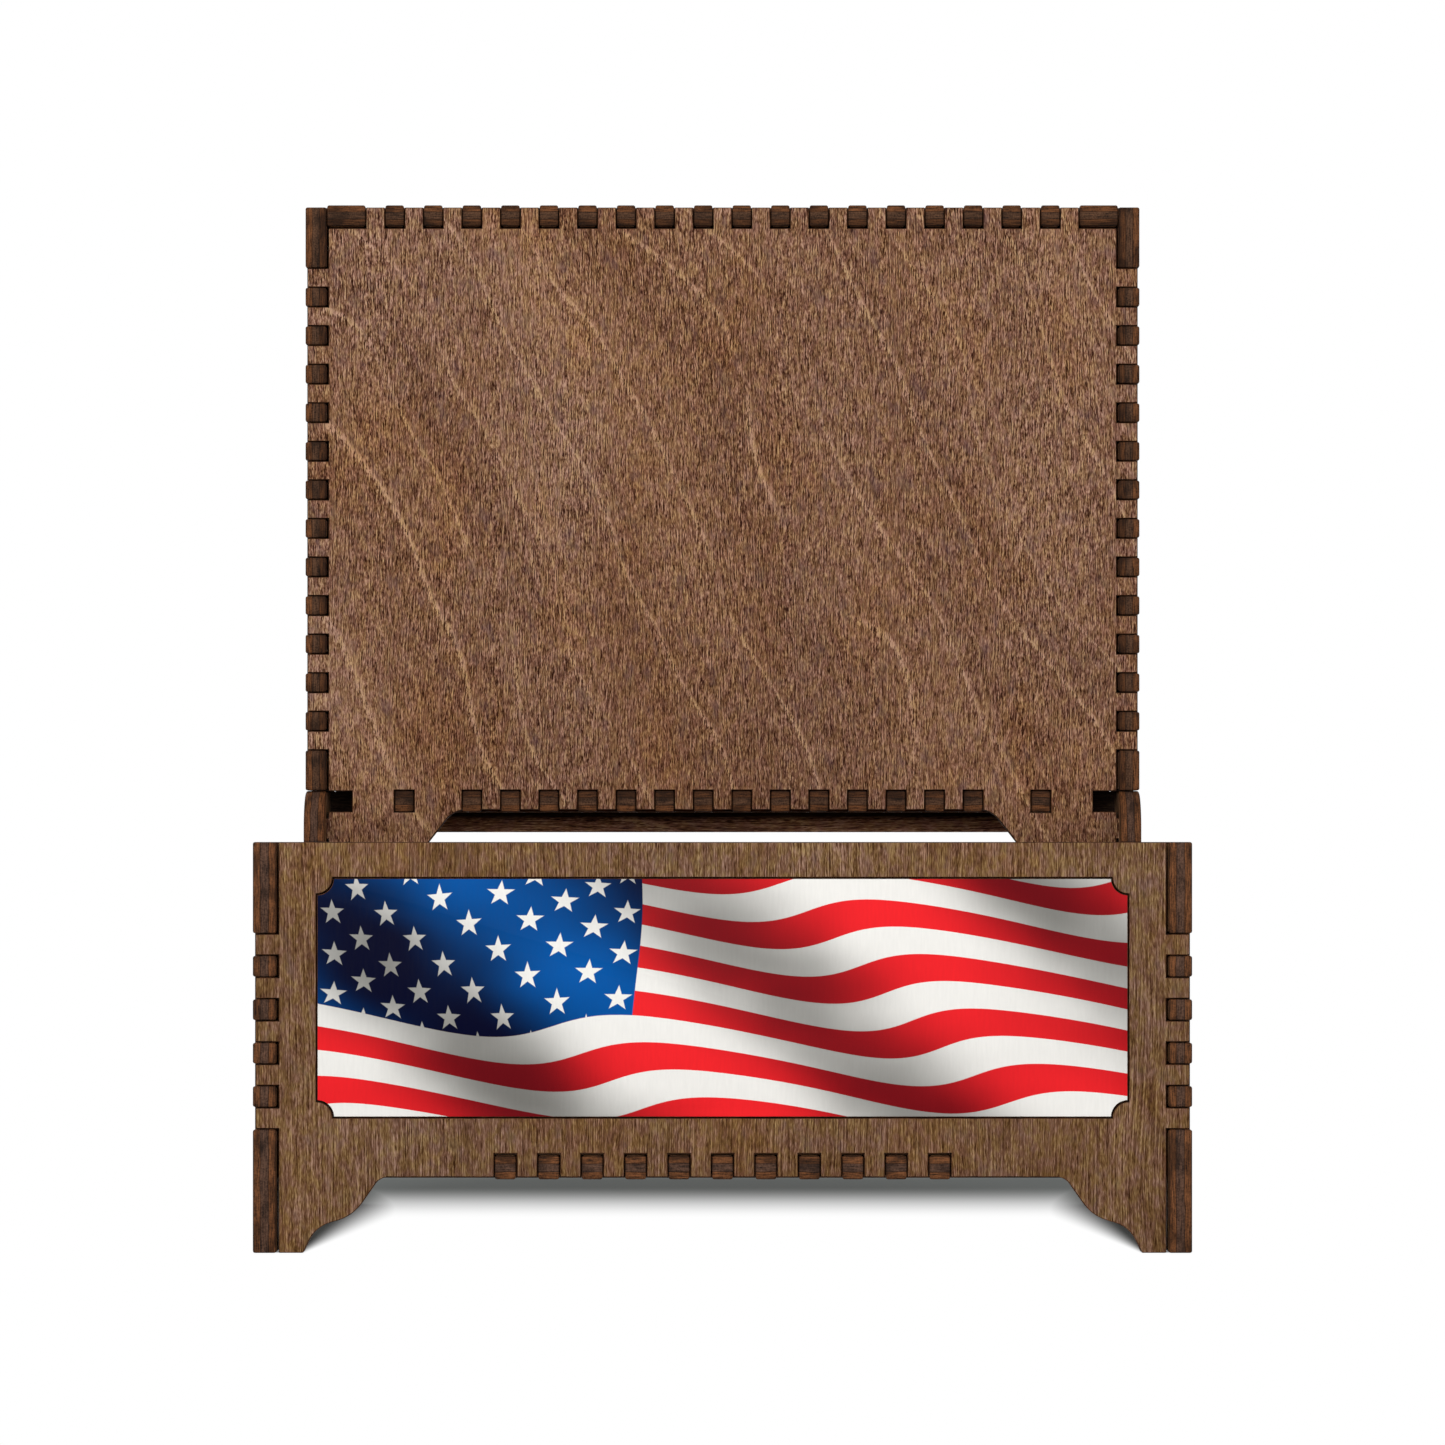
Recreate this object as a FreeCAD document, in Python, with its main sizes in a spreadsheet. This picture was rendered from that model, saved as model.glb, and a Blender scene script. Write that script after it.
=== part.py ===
import FreeCAD, Part
import os

import Sketcher

# Keepsake case of finger-jointed plywood on bracket feet, with a printed plaque let into its front
# and a hollow lid that stands open on two square pins. X runs to the right, Y to the back, Z up.

# Driving dimensions in millimetres, slopes in degrees
driving = [
    ("ply", 3.0, "thickness of every plywood board"),
    ("case_width", 120.0, "over the side panels"),
    ("case_depth", 96.1, "front face to back face"),
    ("case_height", 52.5, "ground to rim"),
    ("joint_proud", 0.3, "finger ends and jointed faces stand out by this much"),
    ("joint_gap", 0.12, "clearance on each side of a finger"),
    ("finger_pitch", 5.55, "finger to finger"),
    ("finger_width", 2.65, "one finger"),
    ("corner_top", 11.9, "least corner finger at the rim"),
    ("corner_foot", 16.0, "least corner finger at the foot"),
    ("floor_row_inset", 28.5, "bare edge at each end of a row of floor fingers"),
    ("foot_height", 9.7, "ground to the arch between two feet"),
    ("foot_base", 6.4, "foot on the ground"),
    ("foot_toe", 1.6, "straight run up from the ground"),
    ("foot_toe_slope", 65.0, "slope of that run"),
    ("foot_toe_radius", 4.5, "round above the toe"),
    ("foot_step", 1.0, "straight run of the step"),
    ("foot_step_slope", 16.0, "slope of the step"),
    ("foot_hollow_radius", 5.5, "hollow above the step"),
    ("foot_slope", 55.0, "slope of the run up to the arch"),
    ("foot_top_radius", 2.2, "round under the arch"),
    ("plaque_side_margin", 5.2, "plaque to the side panel's inner face"),
    ("plaque_top_margin", 4.65, "plaque to the rim"),
    ("plaque_low_margin", 4.95, "plaque to the floor panel"),
    ("plaque_notch", 2.1, "radius of the scooped corners"),
    ("plaque_gap", 0.12, "clearance round the plaque"),
    ("backer_thickness", 1.5, "board behind the plaque"),
    ("backer_gap", 1.5, "backer to the side panels, floor panel and rim"),
    ("ear_radius", 5.4, "hinge ear about the pin"),
    ("hinge_gap", 0.08, "ear to lid"),
    ("pin_width", 3.0, "square pin, across the board"),
    ("pin_clearance", 0.08, "pin corner to hole"),
    ("closed_gap", 0.15, "shut lid to rim"),
    ("heel", 2.8, "lid arm past the pin's axis"),
    ("heel_gap", 0.25, "swinging heel to back panel"),
    ("arm_top", 18.0, "lid arm at the cut-out's upper edge"),
    ("arm_foot", 13.7, "lid arm at its end"),
    ("cutout_edge", 2.7, "pin's axis to the cut-out's upper edge"),
    ("cutout_radius", 3.7, "round in the cut-out's corners"),
    ("notch_width", 3.4, "open notch in the arm's outer edge"),
    ("mortise_inset", 10.9, "arm's outer edge to the middle of its mortise"),
    ("lid_thickness", 18.0, "inner face to outer face"),
    ("lid_corner", 9.05, "least corner finger at the lid's front corners"),
    ("lid_hinge_corner", 11.3, "pin's axis to the first gap in a side wall's fingers"),
    ("lid_tail", 0.5, "outer panel past the pin's axis"),
]

# Places and counts that follow from them
derived = [
    ("half_width", "sizes.case_width / 2"),
    ("inner_face", "half_width - sizes.ply"),
    ("board_edge", "half_width - sizes.joint_proud"),
    ("slot_end", "board_edge - sizes.ply"),
    ("finger_half", "sizes.finger_width / 2"),
    ("slot_half", "finger_half + sizes.joint_gap"),
    ("corner_count", "floor((sizes.case_height - sizes.corner_top - sizes.corner_foot) / sizes.finger_pitch)"),
    ("corner_middle", "(sizes.corner_foot + sizes.case_height - sizes.corner_top) / 2"),
    ("corner_first", "corner_middle - (corner_count - 1) / 2 * sizes.finger_pitch"),
    ("corner_low", "corner_first - sizes.finger_pitch + slot_half"),
    ("corner_high", "corner_first + corner_count * sizes.finger_pitch - slot_half"),
    ("floor_low", "sizes.foot_height - sizes.joint_proud"),
    ("floor_high", "floor_low + sizes.ply"),
    ("floor_count", "floor((sizes.case_width - 2 * sizes.floor_row_inset) / sizes.finger_pitch)"),
    ("floor_first", "-(floor_count - 1) / 2 * sizes.finger_pitch"),
    ("floor_side_count", "floor((sizes.case_depth - 2 * sizes.floor_row_inset) / sizes.finger_pitch)"),
    ("floor_side_first", "(sizes.case_depth - (floor_side_count - 1) * sizes.finger_pitch) / 2"),
    ("foot_in0", "sizes.foot_base"),
    ("foot_up0", "0"),
    ("foot_in1", "foot_in0 + sizes.foot_toe * cos(sizes.foot_toe_slope)"),
    ("foot_up1", "sizes.foot_toe * sin(sizes.foot_toe_slope)"),
    ("foot_in2", "foot_in1 + sizes.foot_toe_radius * (sin(sizes.foot_toe_slope) - sin(sizes.foot_step_slope))"),
    ("foot_up2", "foot_up1 + sizes.foot_toe_radius * (cos(sizes.foot_step_slope) - cos(sizes.foot_toe_slope))"),
    ("foot_in3", "foot_in2 + sizes.foot_step * cos(sizes.foot_step_slope)"),
    ("foot_up3", "foot_up2 + sizes.foot_step * sin(sizes.foot_step_slope)"),
    ("foot_in4", "foot_in3 + sizes.foot_hollow_radius * (sin(sizes.foot_slope) - sin(sizes.foot_step_slope))"),
    ("foot_up4", "foot_up3 + sizes.foot_hollow_radius * (cos(sizes.foot_step_slope) - cos(sizes.foot_slope))"),
    ("foot_up5", "sizes.foot_height - sizes.foot_top_radius * (1 - cos(sizes.foot_slope))"),
    ("foot_in5", "foot_in4 + (foot_up5 - foot_up4) / tan(sizes.foot_slope)"),
    ("foot_in6", "foot_in5 + sizes.foot_top_radius * sin(sizes.foot_slope)"),
    ("foot_up6", "sizes.foot_height"),
    ("plaque_half", "inner_face - sizes.plaque_side_margin"),
    ("plaque_low", "floor_high + sizes.plaque_low_margin"),
    ("plaque_high", "sizes.case_height - sizes.plaque_top_margin"),
    ("hinge_setback", "sqrt(sizes.heel ^ 2 + (sizes.ply / 2) ^ 2) + sizes.heel_gap + sizes.ply"),
    ("reach", "sizes.case_depth - hinge_setback"),
    ("pin_height", "sizes.case_height + sizes.joint_proud + sizes.closed_gap + sizes.ply / 2"),
    ("pin_hole", "sqrt(sizes.ply ^ 2 + sizes.pin_width ^ 2) / 2 + sizes.pin_clearance"),
    ("shoulder", "sizes.ear_radius + sizes.hinge_gap"),
    ("lid_in", "sizes.ply / 2"),
    ("lid_out", "sizes.lid_thickness - 3 * sizes.ply / 2"),
    ("lid_tip_in", "-sizes.ply / 2 - sizes.joint_proud"),
    ("lid_tip_out", "sizes.lid_thickness - sizes.ply / 2 + sizes.joint_proud"),
    ("lid_count", "floor((sizes.case_width - 2 * sizes.lid_corner) / sizes.finger_pitch)"),
    ("lid_first", "-(lid_count - 1) / 2 * sizes.finger_pitch"),
    ("lid_end", "(lid_count + 1) / 2 * sizes.finger_pitch - slot_half"),
    ("wall_count", "floor((reach - sizes.lid_corner - sizes.lid_hinge_corner) / sizes.finger_pitch)"),
    ("wall_middle", "(reach - sizes.lid_corner + sizes.lid_hinge_corner) / 2"),
    ("wall_first", "wall_middle - (wall_count - 1) / 2 * sizes.finger_pitch"),
    ("wall_low", "wall_first - sizes.finger_pitch + slot_half"),
    ("wall_high", "wall_first + wall_count * sizes.finger_pitch - slot_half"),
    ("edge_count", "max(1; floor((lid_out - lid_in) / sizes.finger_pitch) - 1)"),
    ("edge_first", "(lid_in + lid_out - (edge_count - 1) * sizes.finger_pitch) / 2"),
    ("cutout_top", "slot_end - sizes.arm_top"),
    ("cutout_foot", "slot_end - sizes.arm_foot"),
    ("cutout_slope", "atan2(sizes.cutout_edge + sizes.heel; cutout_foot - cutout_top)"),
    ("cutout_round", "sizes.cutout_radius * tan(cutout_slope / 2)"),
    ("back_count", "floor((2 * cutout_top + sizes.finger_pitch - 2 * slot_half) / sizes.finger_pitch)"),
    ("back_first", "-(back_count - 1) / 2 * sizes.finger_pitch"),
    ("back_end", "slot_end - sizes.notch_width - sizes.joint_gap"),
    ("back_low", "sizes.cutout_edge - sizes.joint_proud"),
    ("mortise_low", "back_low - sizes.joint_gap"),
    ("mortise_high", "back_low + sizes.ply + sizes.joint_gap"),
    ("notch_high", "back_low + sizes.ply"),
    ("mortise_middle", "slot_end - sizes.mortise_inset"),
    ("front_y", "-(reach + sizes.lid_thickness - sizes.ply / 2) / 2"),
    ("axis_y", "front_y + reach"),
]

doc = FreeCAD.newDocument("keepsake_case")
sizes = doc.addObject("Spreadsheet::Sheet", "sizes")
for row, (alias, number, meaning) in enumerate(driving, 1):
    sizes.set(f"A{row}", meaning)
    sizes.set(f"B{row}", str(number))
    sizes.setAlias(f"B{row}", alias)
layout = doc.addObject("Spreadsheet::Sheet", "layout")
for row, (alias, formula) in enumerate(derived, 1):
    layout.set(f"A{row}", alias)
    layout.setAlias(f"B{row}", alias)
for row, (alias, formula) in enumerate(derived, 1):
    layout.set(f"B{row}", "=" + formula)
doc.recompute()

# How a board that is drawn flat is turned: facing front, facing sideways, or lying
facing_front = FreeCAD.Rotation(FreeCAD.Vector(1, 0, 0), 90)
facing_side = FreeCAD.Rotation(FreeCAD.Vector(1, 1, 1), 120)
lying = FreeCAD.Rotation()
boards = []


def new_board(label):
    body = doc.addObject("PartDesign::Body", label)
    body.Label = label
    boards.append(body)
    return body


def place(body, turn, x, y, z):
    body.Placement = FreeCAD.Placement(FreeCAD.Vector(0, 0, 0), turn)
    for axis, expression in (("x", x), ("y", y), ("z", z)):
        body.setExpression(f"Placement.Base.{axis}", expression)


def new_sketch(body, name):
    sketch = body.newObject("Sketcher::SketchObject", f"{body.Name}_{name}")
    ground = next(f for f in body.Origin.OriginFeatures if f.Role == "XY_Plane")
    sketch.AttachmentSupport = [(ground, "")]
    sketch.MapMode = "FlatFace"
    return sketch


def hold(sketch, kind, element, point, name, expression):
    number = layout.evalExpression(expression)
    where = (kind, element, number) if point is None else (kind, -1, 1, element, point, number)
    sketch.renameConstraint(sketch.addConstraint(Sketcher.Constraint(*where)), name)
    sketch.setExpression(f"Constraints.{name}", expression)


def arc_through(start, end, radius, side):
    chord = end - start
    left = FreeCAD.Vector(-chord.y, chord.x, 0).normalize()
    sagitta = radius - (radius ** 2 - (chord.Length / 2) ** 2) ** 0.5
    bulge = sagitta if side == "right" else -sagitta
    return Part.Arc(start, (start + end) / 2 + left * bulge, end)


# A closed outline: each corner is x, y and the bend that leads to the next corner, None for a straight
# run or a radius with the side that the arc turns to
def outline(sketch, corners):
    spots = [FreeCAD.Vector(layout.evalExpression(x), layout.evalExpression(y), 0) for x, y, bend in corners]
    ends = []
    for start, end, (x, y, bend) in zip(spots, spots[1:] + spots[:1], corners):
        if bend is None:
            element = sketch.addGeometry(Part.LineSegment(start, end))
        else:
            radius, side = bend
            element = sketch.addGeometry(arc_through(start, end, layout.evalExpression(radius), side))
        runs_on = sketch.getPoint(element, 1).isEqual(start, 1e-6)
        ends.append((element, 1, 2) if runs_on else (element, 2, 1))
    for (element, first, last), (following, its_first, its_last) in zip(ends, ends[1:] + ends[:1]):
        sketch.addConstraint(Sketcher.Constraint("Coincident", element, last, following, its_first))
    for (element, first, last), (x, y, bend) in zip(ends, corners):
        hold(sketch, "DistanceX", element, first, f"across{element}", x)
        hold(sketch, "DistanceY", element, first, f"up{element}", y)
        if bend is not None:
            hold(sketch, "Radius", element, None, f"radius{element}", bend[0])


def rectangle(sketch, left, right, low, high):
    outline(sketch, [(left, low, None), (right, low, None), (right, high, None), (left, high, None)])


# The same rectangle at both ends of a board, given by its distances from the middle
def rectangle_pair(sketch, near, far, low, high):
    rectangle(sketch, near, far, low, high)
    rectangle(sketch, f"-({far})", f"-({near})", low, high)


def add(body, sketch, thickness="sizes.ply"):
    feature = body.newObject("PartDesign::Pad", f"{sketch.Name}_pad")
    feature.Profile = sketch
    feature.setExpression("Length", thickness)
    body.Tip = feature
    return feature


def cut(body, sketch):
    feature = body.newObject("PartDesign::Pocket", f"{sketch.Name}_cut")
    feature.Profile = sketch
    feature.Type = "ThroughAll"
    feature.Reversed = True
    body.Tip = feature
    return feature


def repeat(body, feature, direction, count):
    pattern = body.newObject("PartDesign::LinearPattern", f"{feature.Name}_row")
    pattern.Originals = [feature]
    pattern.Direction = (feature.Profile[0], [direction])
    pattern.Mode = "Spacing"
    pattern.setExpression("Offset", "sizes.finger_pitch")
    pattern.setExpression("Occurrences", count)
    body.Tip = pattern


def blank(body, left, right, low, high, thickness="sizes.ply"):
    sketch = new_sketch(body, "blank")
    rectangle(sketch, left, right, low, high)
    add(body, sketch, thickness)


# The space between two bracket feet whose outer faces are at left and right
def foot_arch(body, left, right):
    bends = [
        None,
        ("sizes.foot_toe_radius", "right"),
        None,
        ("sizes.foot_hollow_radius", "left"),
        None,
        ("sizes.foot_top_radius", "right"),
    ]
    rise = [(f"{left} + layout.foot_in{i}", f"layout.foot_up{i}") for i in range(len(bends) + 1)]
    fall = [(f"{right} - layout.foot_in{i}", f"layout.foot_up{i}") for i in range(len(bends) + 1)]
    corners = [(x, y, bend) for (x, y), bend in zip(rise, bends + [None])]
    corners += [(x, y, bend) for (x, y), bend in zip(reversed(fall), bends[::-1] + [None])]
    sketch = new_sketch(body, "arch")
    outline(sketch, corners)
    cut(body, sketch)


# A rectangle whose corners are scooped out
def scooped(sketch, half, low, high, notch):
    bend = (notch, "right")
    outline(sketch, [
        (f"-({half}) + {notch}", low, None),
        (f"{half} - {notch}", low, bend),
        (half, f"{low} + {notch}", None),
        (half, f"{high} - {notch}", bend),
        (f"{half} - {notch}", high, None),
        (f"-({half}) + {notch}", high, bend),
        (f"-({half})", f"{high} - {notch}", None),
        (f"-({half})", f"{low} + {notch}", bend),
    ])


# Front and back panels: slots for the side panels' fingers and for the floor panel's row
def end_panel(label, rear_face):
    body = new_board(label)
    blank(body, "-layout.board_edge", "layout.board_edge", "0", "sizes.case_height")
    foot_arch(body, "-layout.half_width", "layout.half_width")
    corner = new_sketch(body, "corner_slots")
    rectangle_pair(corner, "layout.slot_end", "layout.half_width",
                   "layout.corner_first - layout.slot_half", "layout.corner_first + layout.slot_half")
    repeat(body, cut(body, corner), "V_Axis", "layout.corner_count")
    long_ends = new_sketch(body, "long_slots")
    rectangle_pair(long_ends, "layout.slot_end", "layout.half_width", "-sizes.ply", "layout.corner_low")
    rectangle_pair(long_ends, "layout.slot_end", "layout.half_width",
                   "layout.corner_high", "sizes.case_height + sizes.ply")
    cut(body, long_ends)
    low_row = new_sketch(body, "floor_slots")
    rectangle(low_row, "layout.floor_first - layout.slot_half", "layout.floor_first + layout.slot_half",
              "sizes.foot_height - sizes.ply", "sizes.foot_height + sizes.ply")
    repeat(body, cut(body, low_row), "H_Axis", "layout.floor_count")
    place(body, facing_front, "0", rear_face, "0")
    return body


def front_panel():
    body = end_panel("front_panel", "layout.front_y + sizes.ply")
    window = new_sketch(body, "window")
    scooped(window, "layout.plaque_half + sizes.plaque_gap", "layout.plaque_low - sizes.plaque_gap",
            "layout.plaque_high + sizes.plaque_gap", "sizes.plaque_notch")
    cut(body, window)


def flag_plaque():
    body = new_board("flag_plaque")
    face = new_sketch(body, "face")
    scooped(face, "layout.plaque_half", "layout.plaque_low", "layout.plaque_high", "sizes.plaque_notch")
    add(body, face)
    place(body, facing_front, "0", "layout.front_y + sizes.ply", "0")


def plaque_backer():
    body = new_board("plaque_backer")
    blank(body, "-layout.inner_face + sizes.backer_gap", "layout.inner_face - sizes.backer_gap",
          "layout.floor_high + sizes.backer_gap", "sizes.case_height - sizes.backer_gap",
          "sizes.backer_thickness")
    place(body, facing_front, "0", "layout.front_y + sizes.ply + sizes.backer_thickness", "0")


# Side panel, drawn from the front face backwards: fingers at both ends, feet, and the hinge ear
def side_panel(label, left_face):
    body = new_board(label)
    blank(body, "sizes.ply", "sizes.case_depth - sizes.ply", "0", "sizes.case_height")
    front_end = ("-sizes.joint_proud", "2 * sizes.ply")
    back_end = ("sizes.case_depth - 2 * sizes.ply", "sizes.case_depth + sizes.joint_proud")
    corner = new_sketch(body, "corner_fingers")
    for end in (front_end, back_end):
        rectangle(corner, *end, "layout.corner_first - layout.finger_half",
                  "layout.corner_first + layout.finger_half")
    repeat(body, add(body, corner), "V_Axis", "layout.corner_count")
    long_ends = new_sketch(body, "long_fingers")
    for end in (front_end, back_end):
        rectangle(long_ends, *end, "0", "layout.corner_low - sizes.joint_gap")
    rectangle(long_ends, *front_end, "layout.corner_high + sizes.joint_gap", "sizes.case_height")
    add(body, long_ends)
    ear = new_sketch(body, "ear")
    ear_front = "layout.reach - sizes.ear_radius"
    ear_top = "layout.pin_height + sizes.ear_radius"
    ear_low = "layout.corner_high + sizes.joint_gap"
    outline(ear, [
        (ear_front, ear_low, None),
        (ear_front, "layout.pin_height", ("sizes.ear_radius", "right")),
        ("layout.reach", ear_top, None),
        (back_end[1], ear_top, None),
        (back_end[1], ear_low, None),
    ])
    add(body, ear)
    hole = new_sketch(body, "pin_hole")
    centre = FreeCAD.Vector(layout.reach, layout.pin_height, 0)
    circle = hole.addGeometry(Part.Circle(centre, FreeCAD.Vector(0, 0, 1), layout.pin_hole))
    hold(hole, "DistanceX", circle, 3, "across", "layout.reach")
    hold(hole, "DistanceY", circle, 3, "up", "layout.pin_height")
    hold(hole, "Radius", circle, None, "radius", "layout.pin_hole")
    cut(body, hole)
    foot_arch(body, "0", "sizes.case_depth")
    low_row = new_sketch(body, "floor_slots")
    rectangle(low_row, "layout.floor_side_first - layout.slot_half",
              "layout.floor_side_first + layout.slot_half",
              "sizes.foot_height - sizes.ply", "sizes.foot_height + sizes.ply")
    repeat(body, cut(body, low_row), "H_Axis", "layout.floor_side_count")
    place(body, facing_side, left_face, "layout.front_y", "0")


def floor_panel():
    body = new_board("floor_panel")
    blank(body, "-layout.inner_face", "layout.inner_face", "sizes.ply", "sizes.case_depth - sizes.ply")
    front_back = new_sketch(body, "end_fingers")
    rectangle(front_back, "layout.floor_first - layout.finger_half", "layout.floor_first + layout.finger_half",
              "-sizes.joint_proud", "sizes.case_depth + sizes.joint_proud")
    repeat(body, add(body, front_back), "H_Axis", "layout.floor_count")
    across = new_sketch(body, "side_fingers")
    rectangle(across, "-layout.half_width - sizes.joint_proud", "layout.half_width + sizes.joint_proud",
              "layout.floor_side_first - layout.finger_half", "layout.floor_side_first + layout.finger_half")
    repeat(body, add(body, across), "V_Axis", "layout.floor_side_count")
    place(body, lying, "0", "layout.front_y", "layout.floor_low")


# Slots that both lid panels have, along their sides and their front edge
def lid_slots(body, lowest):
    sides = new_sketch(body, "side_slots")
    rectangle_pair(sides, "layout.slot_end", "layout.half_width",
                   "layout.wall_first - layout.slot_half", "layout.wall_first + layout.slot_half")
    repeat(body, cut(body, sides), "V_Axis", "layout.wall_count")
    front = new_sketch(body, "front_slots")
    inward = "layout.reach - sizes.joint_proud - sizes.ply"
    rectangle(front, "layout.lid_first - layout.slot_half", "layout.lid_first + layout.slot_half",
              inward, "layout.reach")
    repeat(body, cut(body, front), "H_Axis", "layout.lid_count")
    long_ends = new_sketch(body, "long_side_slots")
    rectangle_pair(long_ends, "layout.slot_end", "layout.half_width", lowest, "layout.wall_low")
    rectangle_pair(long_ends, "layout.slot_end", "layout.half_width", "layout.wall_high", "layout.reach")
    cut(body, long_ends)
    corners = new_sketch(body, "long_front_slots")
    rectangle_pair(corners, "layout.lid_end", "layout.half_width", inward, "layout.reach")
    cut(body, corners)


# Lid panels and walls are drawn upright, from the pin's axis
def lid_inner_panel():
    body = new_board("lid_inner_panel")
    blank(body, "-layout.board_edge", "layout.board_edge",
          "layout.shoulder", "layout.reach - sizes.joint_proud")
    arms = new_sketch(body, "arms")
    rectangle(arms, "-layout.slot_end", "layout.slot_end", "-sizes.heel", "layout.shoulder + sizes.ply")
    add(body, arms)
    lid_slots(body, "layout.shoulder - sizes.ply")
    cutout = new_sketch(body, "cutout")
    bend = ("sizes.cutout_radius", "right")
    slant_in = "layout.cutout_round * cos(layout.cutout_slope)"
    slant_down = "sizes.cutout_edge - layout.cutout_round * sin(layout.cutout_slope)"
    outline(cutout, [
        ("-layout.cutout_foot", "-sizes.heel", None),
        (f"-layout.cutout_top - {slant_in}", slant_down, bend),
        ("-layout.cutout_top + layout.cutout_round", "sizes.cutout_edge", None),
        ("layout.cutout_top - layout.cutout_round", "sizes.cutout_edge", bend),
        (f"layout.cutout_top + {slant_in}", slant_down, None),
        ("layout.cutout_foot", "-sizes.heel", None),
    ])
    cut(body, cutout)
    back = new_sketch(body, "back_slots")
    rectangle(back, "layout.back_first - layout.slot_half", "layout.back_first + layout.slot_half",
              "layout.mortise_low", "layout.mortise_high")
    repeat(body, cut(body, back), "H_Axis", "layout.back_count")
    holes = new_sketch(body, "arm_mortises")
    rectangle_pair(holes, "layout.mortise_middle - layout.slot_half",
                   "layout.mortise_middle + layout.slot_half", "layout.mortise_low", "layout.mortise_high")
    rectangle_pair(holes, "layout.slot_end - sizes.notch_width", "layout.half_width",
                   "layout.back_low", "layout.notch_high")
    cut(body, holes)
    pins = new_sketch(body, "pins")
    rectangle_pair(pins, "layout.slot_end - sizes.ply", "layout.half_width",
                   "-sizes.pin_width / 2", "sizes.pin_width / 2")
    add(body, pins)
    place(body, facing_front, "0", "layout.axis_y + sizes.ply / 2", "layout.pin_height")


def lid_outer_panel():
    body = new_board("lid_outer_panel")
    blank(body, "-layout.board_edge", "layout.board_edge",
          "-sizes.lid_tail", "layout.reach - sizes.joint_proud")
    lid_slots(body, "layout.shoulder")
    back = new_sketch(body, "back_mortises")
    rectangle(back, "layout.back_first - layout.slot_half", "layout.back_first + layout.slot_half",
              "layout.back_low", "layout.mortise_high")
    repeat(body, cut(body, back), "H_Axis", "layout.back_count")
    holes = new_sketch(body, "end_mortises")
    rectangle_pair(holes, "layout.mortise_middle - layout.slot_half",
                   "layout.mortise_middle + layout.slot_half", "layout.back_low", "layout.mortise_high")
    cut(body, holes)
    place(body, facing_front, "0", "layout.axis_y + sizes.lid_thickness - sizes.ply / 2", "layout.pin_height")


def lid_front_wall():
    body = new_board("lid_front_wall")
    blank(body, "-layout.board_edge", "layout.board_edge", "layout.lid_in", "layout.lid_out")
    row = new_sketch(body, "fingers")
    rectangle(row, "layout.lid_first - layout.finger_half", "layout.lid_first + layout.finger_half",
              "layout.lid_tip_in", "layout.lid_tip_out")
    repeat(body, add(body, row), "H_Axis", "layout.lid_count")
    corners = new_sketch(body, "long_fingers")
    rectangle_pair(corners, "layout.lid_end + sizes.joint_gap", "layout.inner_face - sizes.joint_gap",
                   "layout.lid_tip_in", "layout.lid_tip_out")
    add(body, corners)
    ends = new_sketch(body, "end_slots")
    rectangle_pair(ends, "layout.slot_end", "layout.half_width",
                   "layout.edge_first - layout.slot_half", "layout.edge_first + layout.slot_half")
    repeat(body, cut(body, ends), "V_Axis", "layout.edge_count")
    place(body, lying, "0", "layout.axis_y", "layout.pin_height + layout.reach - sizes.ply")


def lid_back_wall():
    body = new_board("lid_back_wall")
    blank(body, "-layout.back_end", "layout.back_end", "layout.lid_in", "layout.lid_out")
    row = new_sketch(body, "fingers")
    rectangle(row, "layout.back_first - layout.finger_half", "layout.back_first + layout.finger_half",
              "layout.lid_tip_in", "layout.lid_tip_out")
    repeat(body, add(body, row), "H_Axis", "layout.back_count")
    ends = new_sketch(body, "end_fingers")
    rectangle_pair(ends, "layout.mortise_middle - layout.finger_half",
                   "layout.mortise_middle + layout.finger_half", "layout.lid_tip_in", "layout.lid_tip_out")
    add(body, ends)
    place(body, lying, "0", "layout.axis_y", "layout.pin_height + layout.back_low")


def lid_side_wall(label, left_face):
    body = new_board(label)
    blank(body, "layout.lid_in", "layout.lid_out", "layout.shoulder", "layout.reach - sizes.ply")
    row = new_sketch(body, "fingers")
    rectangle(row, "layout.lid_tip_in", "layout.lid_tip_out",
              "layout.wall_first - layout.finger_half", "layout.wall_first + layout.finger_half")
    repeat(body, add(body, row), "V_Axis", "layout.wall_count")
    long_ends = new_sketch(body, "long_fingers")
    for tip, root in (("layout.lid_tip_in", "layout.lid_in"), ("layout.lid_out", "layout.lid_tip_out")):
        rectangle(long_ends, tip, root, "layout.shoulder", "layout.wall_low - sizes.joint_gap")
        rectangle(long_ends, tip, root, "layout.wall_high + sizes.joint_gap",
                  "layout.reach - sizes.joint_proud")
    add(body, long_ends)
    front = new_sketch(body, "front_fingers")
    rectangle(front, "layout.edge_first - layout.finger_half", "layout.edge_first + layout.finger_half",
              "layout.reach - 2 * sizes.ply", "layout.reach + sizes.joint_proud")
    repeat(body, add(body, front), "H_Axis", "layout.edge_count")
    place(body, facing_side, left_face, "layout.axis_y", "layout.pin_height")


front_panel()
end_panel("back_panel", "layout.front_y + sizes.case_depth")
side_panel("left_side_panel", "-layout.half_width")
side_panel("right_side_panel", "layout.inner_face")
floor_panel()
flag_plaque()
plaque_backer()
lid_inner_panel()
lid_outer_panel()
lid_front_wall()
lid_back_wall()
lid_side_wall("lid_left_wall", "-layout.half_width")
lid_side_wall("lid_right_wall", "layout.inner_face")
doc.recompute()

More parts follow.
